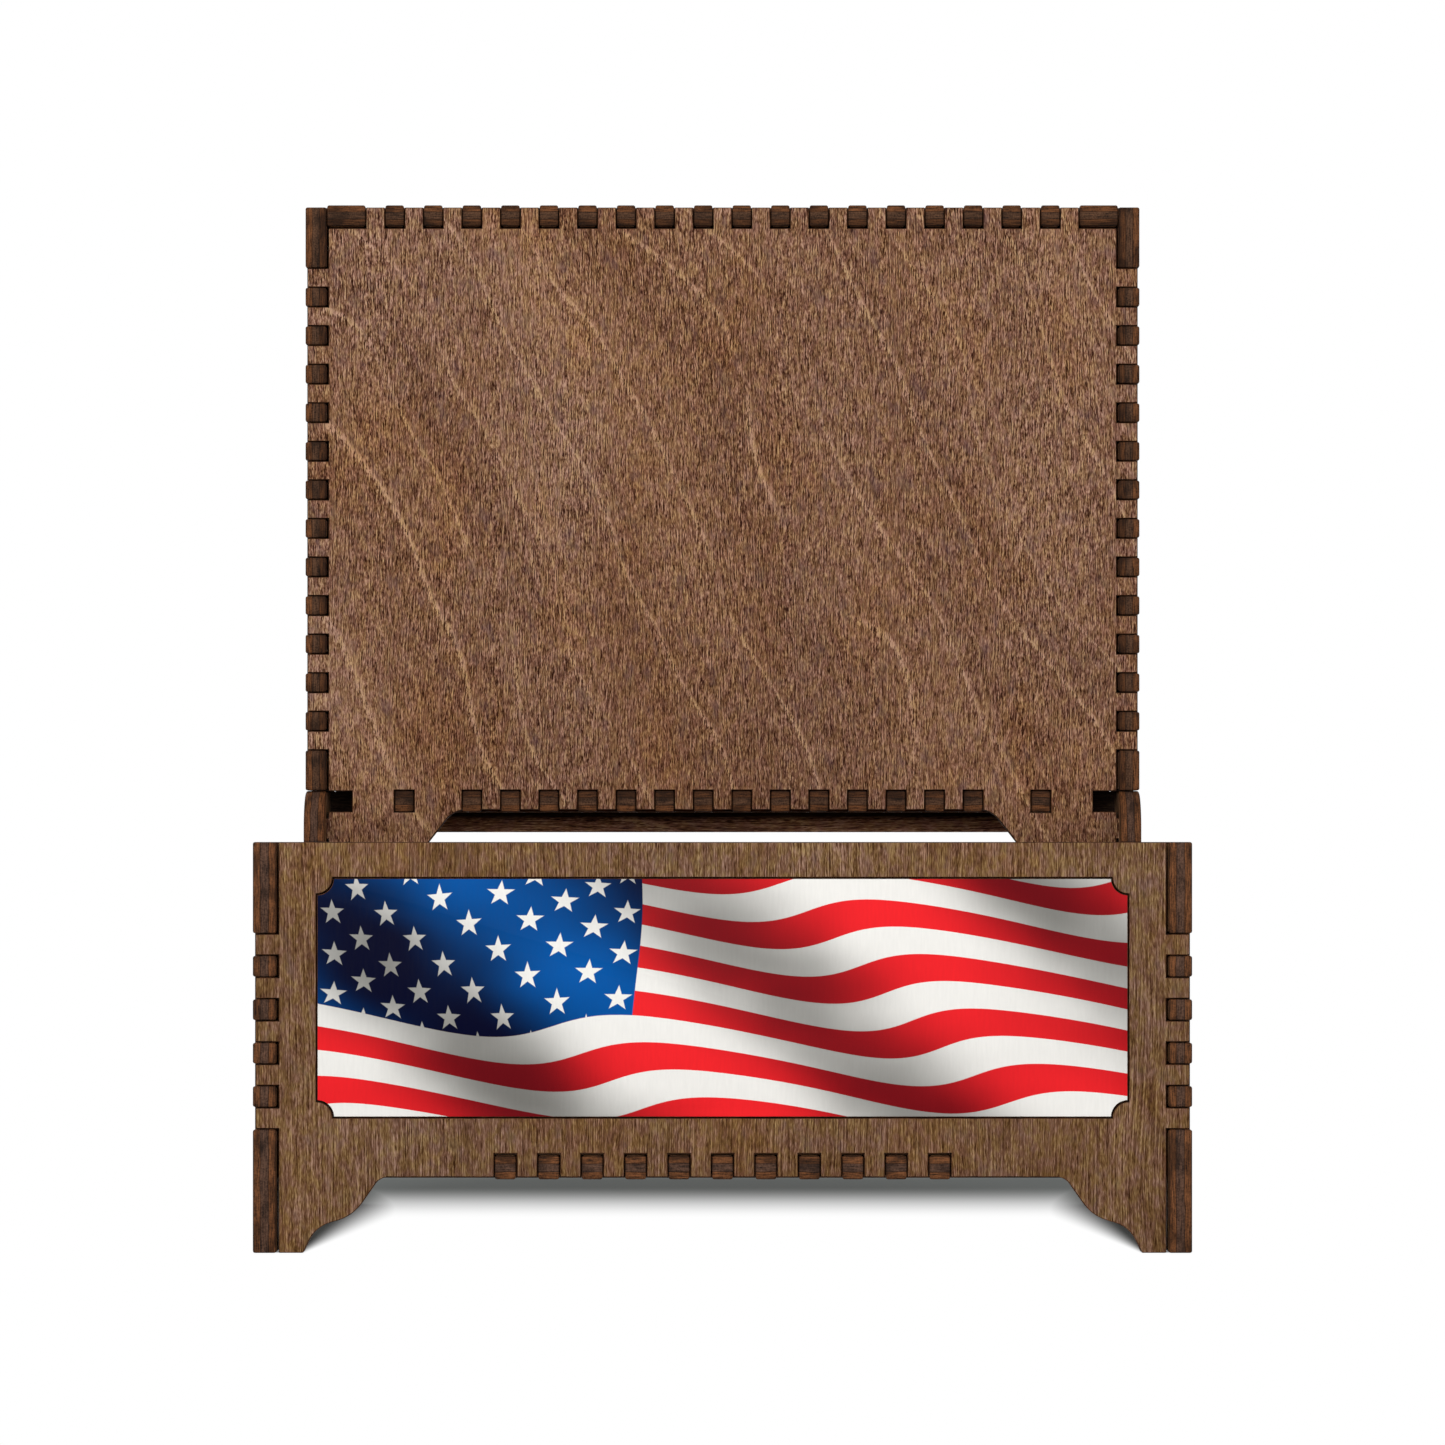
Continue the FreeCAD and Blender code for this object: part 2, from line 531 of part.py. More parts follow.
# Nothing is written unless every feature is sound, every cut removed something and each board is one solid
for item in doc.Objects:
    if {"Invalid", "Error"} & set(item.State):
        raise RuntimeError(f"{item.Label} failed")
    if item.TypeId == "PartDesign::Pocket" and item.Shape.Volume >= item.BaseFeature.Shape.Volume:
        raise RuntimeError(f"{item.Label} cut nothing")
for body in boards:
    if body.Shape.isNull() or not body.Shape.isValid() or len(body.Shape.Solids) != 1:
        raise RuntimeError(f"{body.Label} isn't one sound solid")

os.makedirs("parts", exist_ok=True)
for body in boards:
    body.Shape.exportStep(f"parts/{body.Label}.step")
    print(f"{body.Label}: {body.Shape.Volume / 1000:.2f} cm3")
print(f"hinge axis at y {layout.axis_y:.3f}, z {layout.pin_height:.3f}")
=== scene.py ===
import math

import bmesh
import bpy
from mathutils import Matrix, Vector


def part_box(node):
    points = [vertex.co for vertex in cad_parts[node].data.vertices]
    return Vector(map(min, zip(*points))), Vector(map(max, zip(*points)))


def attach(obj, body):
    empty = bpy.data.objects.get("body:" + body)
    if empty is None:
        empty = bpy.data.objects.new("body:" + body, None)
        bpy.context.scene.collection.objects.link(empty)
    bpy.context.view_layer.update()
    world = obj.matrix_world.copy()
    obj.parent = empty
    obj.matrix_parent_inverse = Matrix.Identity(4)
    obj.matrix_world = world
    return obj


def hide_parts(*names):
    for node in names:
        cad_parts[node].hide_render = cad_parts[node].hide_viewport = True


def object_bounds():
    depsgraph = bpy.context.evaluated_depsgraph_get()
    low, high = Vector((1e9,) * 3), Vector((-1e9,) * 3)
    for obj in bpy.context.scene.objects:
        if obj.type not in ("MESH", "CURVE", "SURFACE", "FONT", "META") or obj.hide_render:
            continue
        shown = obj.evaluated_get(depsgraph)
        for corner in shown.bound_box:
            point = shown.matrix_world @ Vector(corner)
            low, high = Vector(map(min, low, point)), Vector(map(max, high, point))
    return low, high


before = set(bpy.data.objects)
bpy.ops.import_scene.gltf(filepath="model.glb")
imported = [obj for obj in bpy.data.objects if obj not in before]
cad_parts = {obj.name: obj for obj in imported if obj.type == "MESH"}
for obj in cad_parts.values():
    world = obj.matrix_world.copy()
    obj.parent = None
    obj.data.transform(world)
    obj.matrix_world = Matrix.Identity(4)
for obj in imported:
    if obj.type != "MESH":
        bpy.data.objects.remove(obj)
cadLow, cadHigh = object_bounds()
frontLow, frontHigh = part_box("front_panel")
scene = bpy.context.scene


def tone(red, green, blue):  # screen colour, 0 to 255, to scene colour
    parts = [channel / 255 for channel in (red, green, blue)]
    return tuple(p / 12.92 if p < 0.04045 else ((p + 0.055) / 1.055) ** 2.4 for p in parts) + (1.0,)


# node trees, written as sums

class Term:  # one socket, with the sums it can take part in
    def __init__(self, owner, socket):
        self.owner = owner
        self.socket = socket

    def sum(self, operation, *others):
        terms = dict(enumerate((self, *others)))
        return self.owner.node("ShaderNodeMath", {"operation": operation}, terms)

    def reflected(self, operation, other):
        return self.owner.node("ShaderNodeMath", {"operation": operation}, {0: other, 1: self})

    def __add__(self, other):
        return self.sum("ADD", other)

    def __radd__(self, other):
        return self.reflected("ADD", other)

    def __sub__(self, other):
        return self.sum("SUBTRACT", other)

    def __rsub__(self, other):
        return self.reflected("SUBTRACT", other)

    def __mul__(self, other):
        return self.sum("MULTIPLY", other)

    def __rmul__(self, other):
        return self.reflected("MULTIPLY", other)

    def __truediv__(self, other):
        return self.sum("DIVIDE", other)

    def __abs__(self):
        return self.sum("ABSOLUTE")

    def between(self, low, high):  # eased from 0 at low to 1 at high
        return self.owner.node(
            "ShaderNodeMapRange",
            {"interpolation_type": "SMOOTHSTEP"},
            {"Value": self, "From Min": low, "From Max": high, "To Min": 0.0, "To Max": 1.0},
        )


class Tree:  # a node tree and the one method that adds to it
    def __init__(self, tree):
        self.tree = tree

    def pick(self, sockets, key):
        if isinstance(key, int):
            return sockets[key]
        for socket in sockets:
            if socket.identifier == key:
                return socket
        return sockets[key]

    def node(self, kind, settings=None, sockets=None, output=0):
        made = self.tree.nodes.new(kind)
        for key, value in (settings or {}).items():
            setattr(made, key, value)
        for key, value in (sockets or {}).items():
            target = self.pick(made.inputs, key)
            if isinstance(value, Term):
                self.tree.links.new(value.socket, target)
            else:
                target.default_value = value
        return Term(self, self.pick(made.outputs, output)) if made.outputs else made


class Paint(Tree):  # a material
    def __init__(self, name):
        self.material = bpy.data.materials.new(name)
        self.material.use_nodes = True
        super().__init__(self.material.node_tree)
        self.tree.nodes.clear()

    def vector(self, x, y, z):
        return self.node("ShaderNodeCombineXYZ", {}, {0: x, 1: y, 2: z})

    def grain(self):  # mm across the grain, along it, and into the board
        place = self.node("ShaderNodeAttribute", {"attribute_name": "grain"}, {}, "Vector")
        return [self.node("ShaderNodeSeparateXYZ", {}, {0: place}, axis) for axis in range(3)]

    def noise(self, x, y, z, detail=2.0, roughness=0.5):
        spot = self.vector(x, y, z)
        sizes = {"Vector": spot, "Scale": 1.0, "Detail": detail, "Roughness": roughness}
        return self.node("ShaderNodeTexNoise", {}, sizes)

    def mix(self, share, first, second, way="MIX"):
        return self.node(
            "ShaderNodeMix",
            {"data_type": "RGBA", "blend_type": way},
            {"Factor_Float": share, "A_Color": first, "B_Color": second},
            "Result_Color",
        )

    def shade(self, colour, level):  # a colour times a value
        sockets = {"Vector": colour, "Scale": level}
        return self.node("ShaderNodeVectorMath", {"operation": "SCALE"}, sockets)

    def bump(self, height, depth, strength):
        sockets = {"Height": height, "Distance": depth, "Strength": strength}
        return self.node("ShaderNodeBump", {}, sockets)

    def finish(self, colour, roughness, normal, fixed):
        sockets = {"Base Color": colour, "Roughness": roughness, "Normal": normal, **fixed}
        surface = self.node("ShaderNodeBsdfPrincipled", {}, sockets)
        self.node("ShaderNodeOutputMaterial", {}, {"Surface": surface})
        return self.material


# stained plywood: the veneer that shows on both sides of a board

def veneerPaint(look):
    paint = Paint(look["name"])
    across, along, depth = paint.grain()
    side = depth * 3.7  # the two sides of a board differ
    sway = (paint.noise(across * 0.03, along * 0.012, side) - 0.5) * 5.0
    fibreX = across + sway
    fine = look["fine"]
    short = look["short"]
    # fibres end at uneven heights
    slip = paint.noise(fibreX * fine * 0.45, 0.0, side + 97.0, 0.0) * 5.0
    fibre = paint.noise(fibreX * fine, along * short + slip, side, 2.0, 0.55)
    strand = paint.noise(fibreX * fine * 0.85, along * look["long"] + slip, side + 7.0, 2.0, 0.55)
    poreX = fibreX * fine * 0.9
    vessel = paint.noise(poreX, along * short * 0.4 + slip, side + 19.0, 1.0).between(0.57, 0.68)
    flake = paint.noise(poreX, along * short * 0.5 + slip, side + 31.0, 1.0).between(0.60, 0.72)
    cloud = paint.noise(across * 0.42 + along * 0.08, along * 0.22, side + 3.0, 3.0, 0.65)
    broad = paint.noise(across * 0.055, along * 0.018, side + 11.0, 2.0)
    thread = fibre + strand - 1.0
    # growth rings cut at a slant, drawn out ragged along the fibres
    bend = (paint.noise(across * 0.016, along * 0.012, side + 43.0, 2.0) - 0.5) * look["ringBend"]
    slant = across * look["ringAcross"] + along * look["ringAlong"] + bend + thread * look["ringRagged"]
    turnsIn = slant / look["ringPitch"]
    # each ring has its own strength and place
    lot = paint.noise(turnsIn.sum("FLOOR") * 7.31, 0.4, 0.7, 0.0)
    offRing = abs(turnsIn.sum("FRACT") - 0.5 - (lot - 0.5) * 0.9) * look["ringPitch"]
    ringWidth = (lot + 0.5) * look["ringWidth"]
    ringLine = offRing.between(ringWidth, ringWidth * 0.2) * thread.between(-0.22, 0.10)
    ring = ringLine * paint.noise(across * 0.05, along * 0.03, side + 57.0, 1.0).between(0.32, 0.50)
    # the wood between them differs too
    band = paint.noise(slant * 0.08, along * 0.008, side + 103.0, 1.0) - 0.5
    contrast = 0.6 + broad * 0.8
    level = 0.5 + ((fibre - 0.5) * look["fibre"] + (strand - 0.5) * look["strand"]) * contrast
    level = level + (broad - 0.5) * look["broad"] + (cloud - 0.5) * look["cloud"] - band * look["band"]
    level = level + flake * look["flake"] - vessel * look["vessel"] * (0.8 + band * 2.0)
    level = level + ring * (lot + 0.5) * look["ring"]
    low = paint.mix(level.between(-0.1, 0.6), look["dark"], look["middle"])
    colour = paint.mix(level.between(0.4, 1.1), low, look["light"])
    colour = paint.mix(cloud.between(0.52, 0.70) * look["cool"], colour, look["shadow"])
    rust = paint.noise(across * 0.09, along * 0.05, side + 71.0, 3.0, 0.6).between(0.48, 0.66)
    colour = paint.mix(rust * look["rust"], colour, look["rustTint"], "MULTIPLY")
    fleck = paint.noise(across * 0.8, along * 0.45, side + 89.0, 2.0, 0.6).between(0.36, 0.64)
    colour = paint.mix(1.0, colour, paint.mix(fleck, look["olive"], look["plum"]), "MULTIPLY")
    drift = paint.noise(across * 0.03, along * 0.022, side + 113.0, 1.0).between(0.36, 0.64)
    colour = paint.mix(1.0, colour, paint.mix(drift, look["amber"], look["ash"]), "MULTIPLY")
    # painted shade: the colour darkens towards char across a given band of the board
    if "paintedShade" in look:
        paintedShade = look["paintedShade"]
        way = {"across": across, "along": along}[paintedShade["way"]]
        black = way.between(paintedShade["unshaded"], paintedShade["black"]) * paintedShade["share"]
        colour = paint.mix(black, colour, look["charAndShade"])
    roughness = 0.66 + (fibre - 0.5) * 0.25 + vessel * 0.12
    normal = paint.bump(fibre * 0.6 + strand * 0.3 - vessel * 0.8, 0.00006, 0.5)
    return paint.finish(colour, roughness, normal, {"Specular IOR Level": 0.05})


# laser-cut edge: three plies, browned by the beam, black along the arrises, with painted shade along
# the edges, in inner corners and towards the inner face

def cutPaint(look):
    paint = Paint(look["name"])
    across, along, depth = paint.grain()
    rise = depth / look["thickness"]
    wander = (paint.noise(across * 0.25, along * 0.25, depth * 0.3, 1.0) - 0.5) * 0.10
    core = (abs(rise + wander - 0.5)).between(0.20, 0.15)
    glue = (abs(abs(rise + wander - 0.5) - 0.175)).between(0.030, 0.0)
    streak = paint.noise(across * 0.5, along * 0.5, depth * 10.0, 3.0, 0.65)
    pit = paint.noise(across * 4.5, along * 4.5, depth * 4.0, 2.0, 0.6)
    burn = paint.noise(across * 0.30, along * 0.30, depth * 0.6, 2.0)
    arris = (0.5 - abs(rise - 0.5)).between(look["arris"], look["arris"] * 0.3)
    streaks = streak.between(0.32, 0.68)
    plyShare = streaks * 0.75 + pit.between(0.35, 0.68) * 0.25
    coreShare = streaks * 0.55 + pit.between(0.34, 0.66) * 0.45
    outerPly = paint.mix(plyShare, look["plyDark"], look["plyLight"])
    corePly = paint.mix(coreShare, look["coreDark"], look["coreLight"])
    colour = paint.mix(core * 0.7, outerPly, corePly)
    colour = paint.mix(glue * 0.75, colour, look["charAndShade"])
    colour = paint.mix(burn.between(0.46, 0.70) * 0.6, colour, look["charAndShade"])
    colour = paint.mix(arris * 0.4, colour, look["charAndShade"])
    # painted shade: darker towards the board's inner face
    colour = paint.mix(rise.between(0.25, 1.05) * look["inwardShade"], colour, look["charAndShade"])
    rounded = paint.node("ShaderNodeBevel", {"samples": 6}, {"Radius": look["edgeCharAndShadeWidth"]})
    flat = paint.node("ShaderNodeNewGeometry", {}, {}, "True Normal")
    pair = {0: rounded, 1: flat}
    facing = paint.node("ShaderNodeVectorMath", {"operation": "DOT_PRODUCT"}, pair, "Value")
    edgeCharAndShade = (1.0 - facing).between(0.01, 0.20)  # the beam blackens every edge it leaves; this dark band is also painted shade along the edges and in inner corners
    colour = paint.mix(edgeCharAndShade * look["edgeCharAndShade"], colour, look["charAndShade"])
    roughness = 0.58 + pit * 0.25
    normal = paint.bump(streak * 0.7 + pit * 0.5, 0.0001, 0.7)
    return paint.finish(colour, roughness, normal, {"Specular IOR Level": 0.08})


# the finishes of the case, the lid and their cut edges

def upBoard(node, shift, height):  # a height in the frame as mm along an upright board
    low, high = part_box(node)
    return (height - (low.z + high.z) / 2) * 1000 + shift


lidInnerShift = (0.0, 500.0)
lidOuterShift = (310.0, 560.0)
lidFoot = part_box("lid_inner_panel")[0].z
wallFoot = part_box("lid_back_wall")[0].z
# laser char, also the colour of painted shade
charAndShadeTone = tone(14, 8, 6)
caseLook = {
    "name": "caseVeneer",
    "dark": tone(52, 27, 9),
    "middle": tone(112, 79, 54),
    "light": tone(170, 137, 108),
    "shadow": tone(80, 60, 52),
    "fine": 5.6,
    "short": 1.2,
    "long": 0.15,
    "fibre": 1.4,
    "strand": 1.75,
    "broad": 0.3,
    "band": 0.0,  # the lid alone shows bands and rings
    "cloud": 0.62,
    "flake": 0.2,
    "vessel": 0.3,
    "cool": 0.45,
    "rust": 0.6,
    "rustTint": (1.0, 0.92, 0.76, 1.0),
    "olive": (1.0, 1.04, 0.81, 1.0),
    "plum": (1.0, 0.965, 1.16, 1.0),
    "amber": (1.01, 0.995, 0.93, 1.0),
    "ash": (0.985, 1.0, 1.03, 1.0),
    "ring": 0.0,
    "ringAcross": 1.0,
    "ringAlong": 0.12,
    "ringBend": 14.0,
    "ringRagged": 2.0,
    "ringPitch": 9.0,
    "ringWidth": 0.4,
    "charAndShade": charAndShadeTone,
}
lidTopLook = dict(
    caseLook,
    name="lidTopVeneer",
    dark=tone(47, 22, 12),
    middle=tone(130, 88, 66),
    light=tone(196, 156, 125),
    shadow=tone(84, 59, 57),
    olive=(1.0, 1.03, 0.88, 1.0),
    plum=(1.0, 0.975, 1.09, 1.0),
    fine=6.0,
    long=0.18,
    fibre=1.5,
    strand=1.9,
    broad=0.2,
    band=0.28,
    cloud=0.5,
    flake=0.12,
    vessel=0.66,
    cool=0.55,
    ring=0.4,
    ringAcross=0.88,
    ringAlong=0.48,
    ringBend=36.0,
    ringPitch=11.0,
    ringWidth=0.36,
)
lidLook = dict(
    lidTopLook,
    name="lidVeneer",
    short=1.7,
    long=0.40,
    fibre=2.2,
    strand=2.3,
    ring=0.6,
    paintedShade={  # painted shade: a little, darker down towards the hinge
        "way": "along",
        "unshaded": upBoard("lid_inner_panel", lidInnerShift[1], lidFoot + 0.0121),
        "black": upBoard("lid_inner_panel", lidInnerShift[1], lidFoot + 0.0011),
        "share": 0.10,
    },
)
lidInsideLook = dict(
    lidTopLook,
    name="lidInsideVeneer",
    paintedShade={  # painted shade: black behind the walls
        "way": "across",
        "unshaded": upBoard("lid_outer_panel", lidOuterShift[0], wallFoot - 0.0014),
        "black": upBoard("lid_outer_panel", lidOuterShift[0], wallFoot - 0.0004),
        "share": 0.93,
    },
)
cutLook = {
    "name": "cutPlies",
    "thickness": 3.0,
    "arris": 0.075,
    "edgeCharAndShade": 0.85,
    "edgeCharAndShadeWidth": 0.0006,
    "inwardShade": 0.0,
    "plyDark": tone(29, 17, 10),
    "plyLight": tone(139, 88, 54),
    "coreDark": tone(24, 17, 15),
    "coreLight": tone(92, 74, 66),
    "charAndShade": charAndShadeTone,
}
lidCutLook = dict(
    cutLook,
    name="lidCutPlies",
    coreDark=tone(26, 18, 14),
    coreLight=tone(103, 77, 60),
    inwardShade=0.6,
)
backingLook = dict(cutLook, name="cutBacking", thickness=1.5)
caseVeneer = veneerPaint(caseLook)
lidVeneer = veneerPaint(lidLook)
lidTopVeneer = veneerPaint(lidTopLook)
lidInsideVeneer = veneerPaint(lidInsideLook)
cutPlies = cutPaint(cutLook)
lidCutPlies = cutPaint(lidCutLook)
cutBacking = cutPaint(backingLook)
print("plywood: %d materials" % len(bpy.data.materials))


# the plaque's print: a flag in the wind, in a layout of its own

flagLook = {
    "stripe": 3.3,
    "wave": 1.85,
    "waveLength": 47.0,
    "waveStart": 3.2,
    "ripple": 0.12,
    "rippleLead": 0.8,
    "slack": 9.0,
    "drag": 0.8,
    "dragLead": 1.1,
    "glow": 0.35,
    "crumple": 0.6,
    "lean": 1.1,
    "fall": 0.055,
    "cantonSide": -11.0,
    "cantonFoot": -4.6,
    "starRadius": 1.68,
    "starWaist": 0.40,
    "starPitch": 7.5,
    "starRow": 3.15,
    "starStart": (0.25, 0.65),
    "starSteady": 0.75,
    "redLit": tone(254, 40, 46),
    "redShaded": tone(104, 12, 20),
    "redFold": (-0.2, 1.2),
    "whiteLit": tone(250, 247, 242),
    "whiteShaded": tone(118, 116, 111),
    "whiteFold": (-0.3, 0.95),
    "blueLit": tone(0, 92, 176),
    "blueShaded": tone(0, 2, 33),
    "blueFold": (0.0, 1.35),
    "inkEdge": 0.05,
}


def starField(paint, u, v, skew, squash, look):
    found = None
    point = look["starRadius"]
    waist = point * look["starWaist"]
    fifth = 2 * math.pi / 5
    run = waist * math.sin(fifth / 2)
    rise = point - waist * math.cos(fifth / 2)
    for half in (0.0, 0.5):  # alternate rows stand half a pitch along
        x = ((u / look["starPitch"] + half).sum("FRACT") - 0.5) * look["starPitch"]
        y = ((v / (2 * look["starRow"]) + half).sum("FRACT") - 0.5) * (2 * look["starRow"])
        y = (y - x * skew) / squash  # the cloth's slope shears the rows, and the stars much less
        turn = x.sum("ARCTAN2", y)
        fold = abs((turn / fifth + 0.5).sum("FRACT") - 0.5) * fifth
        reach = (x * x + y * y).sum("SQRT")
        line = (reach * fold.sum("COSINE") - point) * run + reach * fold.sum("SINE") * rise
        star = (line / math.hypot(run, rise)).between(look["inkEdge"], -look["inkEdge"])
        found = star if found is None else found.sum("MAXIMUM", star)
    return found


def flagPaint(look):
    paint = Paint("flagPrint")
    across, along = paint.grain()[:2]
    slack = (paint.noise(across * 0.018, along * 0.03, 2.0, 1.0) - 0.5) * look["slack"]
    step = 2 * math.pi / look["waveLength"]
    turn = (across + along * look["lean"] + slack) * step + look["waveStart"]
    ripple = turn * 2.0 + look["rippleLead"]
    lift = turn.sum("SINE") * look["wave"] + ripple.sum("SINE") * (look["wave"] * look["ripple"])
    v = along - lift + across * look["fall"]
    u = across + (turn + look["dragLead"]).sum("SINE") * look["drag"]
    ink = look["inkEdge"]
    stripeAt = ((v - look["cantonFoot"]) / (2 * look["stripe"])).sum("FRACT")
    halfStripe = look["stripe"] / 2
    red = (abs(stripeAt - 0.25) * (4 * halfStripe)).between(halfStripe + ink, halfStripe - ink)
    canton = (u - look["cantonSide"]).between(ink, -ink) * (v - look["cantonFoot"]).between(-ink, ink)
    starAlong, starUp = look["starStart"]
    starU = u - look["cantonSide"] + look["starPitch"] * starAlong
    starV = v - look["cantonFoot"] - look["starRow"] * starUp
    steep = look["wave"] * step
    slope = turn.sum("COSINE") * steep + ripple.sum("COSINE") * (steep * 2 * look["ripple"])
    skew = (look["fall"] - slope) * look["starSteady"]
    squash = 1.0 - slope * (look["lean"] * look["starSteady"])
    star = starField(paint, starU, starV, skew, squash, look) * canton
    crumple = (paint.noise(across * 0.05, along * 0.08, 5.0, 2.0) - 0.5) * look["crumple"]
    # folds are deeper in places
    swell = 0.12 + paint.noise(across * 0.03, along * 0.05, 15.0, 1.0) * 0.7
    fold = 0.5 + (turn + look["glow"]).sum("SINE") * swell + crumple
    redInk = paint.mix(fold.between(*look["redFold"]), look["redShaded"], look["redLit"])
    whiteInk = paint.mix(fold.between(*look["whiteFold"]), look["whiteShaded"], look["whiteLit"])
    blueInk = paint.mix(fold.between(*look["blueFold"]), look["blueShaded"], look["blueLit"])
    colour = paint.mix(red, whiteInk, redInk)
    colour = paint.mix(canton, colour, blueInk)
    colour = paint.mix(star, colour, whiteInk)
    fibre = paint.noise(across * 3.0, along * 0.4, 9.0, 2.0)
    colour = paint.shade(colour, 0.97 + (fibre - 0.5) * 0.10)
    roughness = 0.46 + (fibre - 0.5) * 0.2
    normal = paint.bump(fibre, 0.00003, 0.4)
    return paint.finish(colour, roughness, normal, {"Specular IOR Level": 0.03})


flagPrint = flagPaint(flagLook)
print("print: flag with %.1f mm stripes" % flagLook["stripe"])


# one tree dresses every board: grain directions, then materials by the way each face looks

boardMesh = {
    "weld": 2e-6,  # m
    "flatWithin": 0.6,  # degrees, as the next two
    "roundOver": 35.0,
    "smoothWithin": 25.0,
    "roundSteps": 2,
    "facing": 0.95,
}


def boardTree():
    group = bpy.data.node_groups.new("dressBoard", "GeometryNodeTree")
    kinds = {"Board": "Geometry"}
    kinds.update(dict.fromkeys(("Origin", "Across", "Along", "Depth", "Shift"), "Vector"))
    kinds.update(dict.fromkeys(("Outer", "Inner", "Cut"), "Material"))
    for name, kind in kinds.items():
        group.interface.new_socket(name, in_out="INPUT", socket_type="NodeSocket" + kind)
    group.interface.new_socket("Board", in_out="OUTPUT", socket_type="NodeSocketGeometry")
    tree = Tree(group)
    start = tree.node("NodeGroupInput").socket.node
    given = {name: Term(tree, start.outputs[name]) for name in kinds}

    def vector(operation, first, second, output=0):
        pair = {0: first, 1: second}
        return tree.node("ShaderNodeVectorMath", {"operation": operation}, pair, output)

    reach = vector("SUBTRACT", tree.node("GeometryNodeInputPosition"), given["Origin"])
    ways = {}
    for axis, name in enumerate(("Across", "Along", "Depth")):
        ways[axis] = vector("DOT_PRODUCT", reach, given[name], "Value") * 1000.0  # mm
    grain = vector("ADD", tree.node("ShaderNodeCombineXYZ", {}, ways), given["Shift"])
    marked = tree.node(
        "GeometryNodeStoreNamedAttribute",
        {"data_type": "FLOAT_VECTOR", "domain": "POINT"},
        {"Geometry": given["Board"], "Name": "grain", "Value": grain},
    )
    facing = vector("DOT_PRODUCT", tree.node("GeometryNodeInputNormal"), given["Depth"], "Value")
    whole = tree.node("GeometryNodeRealizeInstances", {}, {"Geometry": marked})
    dressed = tree.node("GeometryNodeSetMaterial", {}, {"Geometry": whole, "Material": given["Cut"]})
    for name, way in (("Outer", facing * -1.0), ("Inner", facing)):
        flat = way.sum("GREATER_THAN", boardMesh["facing"])
        dressed = tree.node(
            "GeometryNodeSetMaterial",
            {},
            {"Geometry": dressed, "Selection": flat, "Material": given[name]},
        )
    tree.node("NodeGroupOutput", {}, {"Board": dressed})
    return group


dressTree = boardTree()


def plainCopy(node):  # the CAD board as whole flat faces
    work = bmesh.new()
    work.from_mesh(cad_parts[node].data)
    bmesh.ops.remove_doubles(work, verts=work.verts, dist=boardMesh["weld"])
    flat = math.radians(boardMesh["flatWithin"])
    bmesh.ops.dissolve_limit(work, angle_limit=flat, verts=work.verts, edges=work.edges)
    work.verts.index_update()
    points = [vert.co.copy() for vert in work.verts]
    faces = [[vert.index for vert in face.verts] for face in work.faces]
    work.free()
    mesh = bpy.data.meshes.new(node + "_copy")
    mesh.from_pydata(points, [], faces)
    work = bmesh.new()
    work.from_mesh(mesh)
    weight = work.edges.layers.float.new("bevel_weight_edge")
    for edge in work.edges:  # outward edges are rounded, inward corners stay sharp
        edge[weight] = float(edge.calc_face_angle_signed(0.0) > math.radians(boardMesh["roundOver"]))
    work.to_mesh(mesh)
    work.free()
    return mesh


def dressBoard(board):
    piece = bpy.data.objects.new(board["name"], plainCopy(board["node"]))
    scene.collection.objects.link(piece)
    soften = piece.modifiers.new("arris", "BEVEL")
    soften.width = board["arris"] * 0.001
    soften.segments = boardMesh["roundSteps"]
    soften.limit_method = "WEIGHT"
    soften.use_clamp_overlap = False
    low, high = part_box(board["node"])
    outward = Vector(board["outward"])
    half = (high - low) / 2
    origin = (low + high) / 2 + Vector(o * h for o, h in zip(outward, half))
    values = {
        "Origin": origin,
        "Across": board["across"],
        "Along": board["along"],
        "Depth": -outward,
        "Shift": (*board["shift"], 0.0),
        "Outer": board["outer"],
        "Inner": board["inner"],
        "Cut": board["cut"],
    }
    dress = piece.modifiers.new("dress", "NODES")
    dress.node_group = dressTree
    for item in dressTree.interface.items_tree:
        if item.in_out == "INPUT" and item.name in values:
            dress[item.identifier] = values[item.name]
    whole = bpy.data.meshes.new_from_object(piece.evaluated_get(bpy.context.evaluated_depsgraph_get()))
    piece.modifiers.clear()
    piece.data = whole
    whole.name = board["name"]
    whole.polygons.foreach_set("use_smooth", [True] * len(whole.polygons))
    whole.set_sharp_from_angle(angle=math.radians(boardMesh["smoothWithin"]))
    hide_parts(board["node"])
    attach(piece, board["body"])
    return piece


# the case

caseBoard = {
    "body": "case",
    "slot": "case_board",
    "along": (0, 0, 1),
    "outer": caseVeneer,
    "inner": caseVeneer,
    "cut": cutPlies,
    "arris": 0.25,
}
frontBoard = dict(
    caseBoard,
    name="front_board",
    node="front_panel",
    outward=(0, -1, 0),
    across=(1, 0, 0),
    shift=(0.0, 0.0),
    arris=0.10,
)
backBoard = dict(
    caseBoard,
    name="back_board",
    node="back_panel",
    outward=(0, 1, 0),
    across=(-1, 0, 0),
    shift=(310.0, 40.0),
    arris=0.10,
)
leftSideBoard = dict(
    caseBoard,
    name="left_side_board",
    node="left_side_panel",
    outward=(-1, 0, 0),
    across=(0, -1, 0),
    shift=(620.0, 90.0),
)
rightSideBoard = dict(
    caseBoard,
    name="right_side_board",
    node="right_side_panel",
    outward=(1, 0, 0),
    across=(0, 1, 0),
    shift=(930.0, 150.0),
)
floorBoard = dict(
    caseBoard,
    name="floor_board",
    node="floor_panel",
    outward=(0, 0, -1),
    across=(0, 1, 0),
    along=(1, 0, 0),
    shift=(1240.0, 210.0),
)
